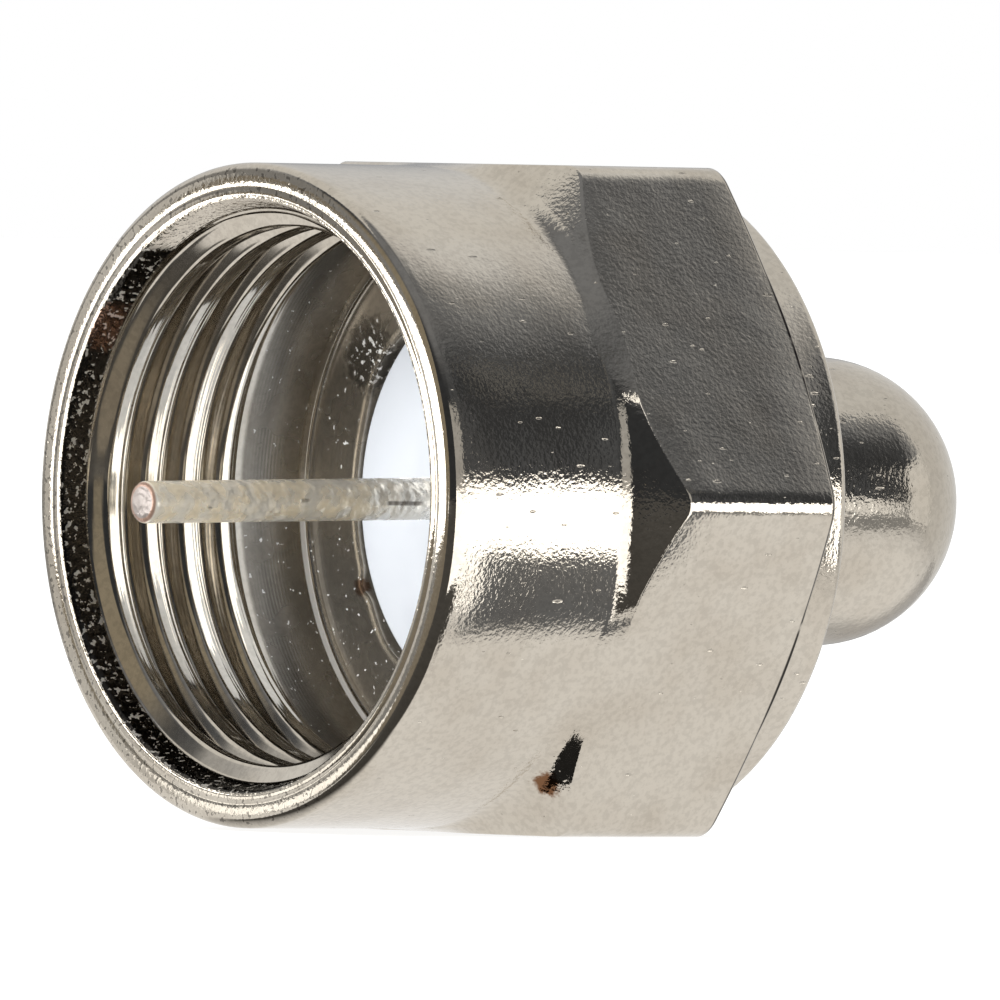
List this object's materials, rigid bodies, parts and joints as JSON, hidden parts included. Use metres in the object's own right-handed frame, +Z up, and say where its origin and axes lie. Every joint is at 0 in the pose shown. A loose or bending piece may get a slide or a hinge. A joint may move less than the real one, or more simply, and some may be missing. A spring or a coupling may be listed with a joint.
{
  "type": "coaxial terminator",
  "caption": "Screw-on coaxial terminator: a plated hexagon shell with a threaded mouth, a white insulator, a centre pin and a ball-ended nub that holds the resistor.",
  "frame": {"origin": "on the shell's axis in the plane of the mouth, where a port's end face enters", "axes": "+X along the shell's axis from the mouth to the nub, +Z up from the hexagon flat that it lies on"},
  "size_m": [0.0167, 0.0126, 0.011],
  "materials": {
    "nickel_plate": "bright nickel on a die casting, fine pits and soft edges",
    "white_plastic": "smooth matt white plastic",
    "tinned_wire": "dull mottled tin on copper wire",
    "ceramic_rod": "unglazed ceramic",
    "cap_steel": "tinned pressed steel",
    "lacquer": "glossy tan lacquer with colour bands",
    "solder": "satin solder"
  },
  "bodies": {
    "root": {"shell": "nickel_plate", "insulator": "white_plastic", "centre_pin": "tinned_wire", "resistor_core": "ceramic_rod", "front_cap": "cap_steel", "rear_cap": "cap_steel", "resistor_coating": "lacquer", "ground_lead": "tinned_wire", "solder_joint": "solder"}
  },
  "joints": []
}
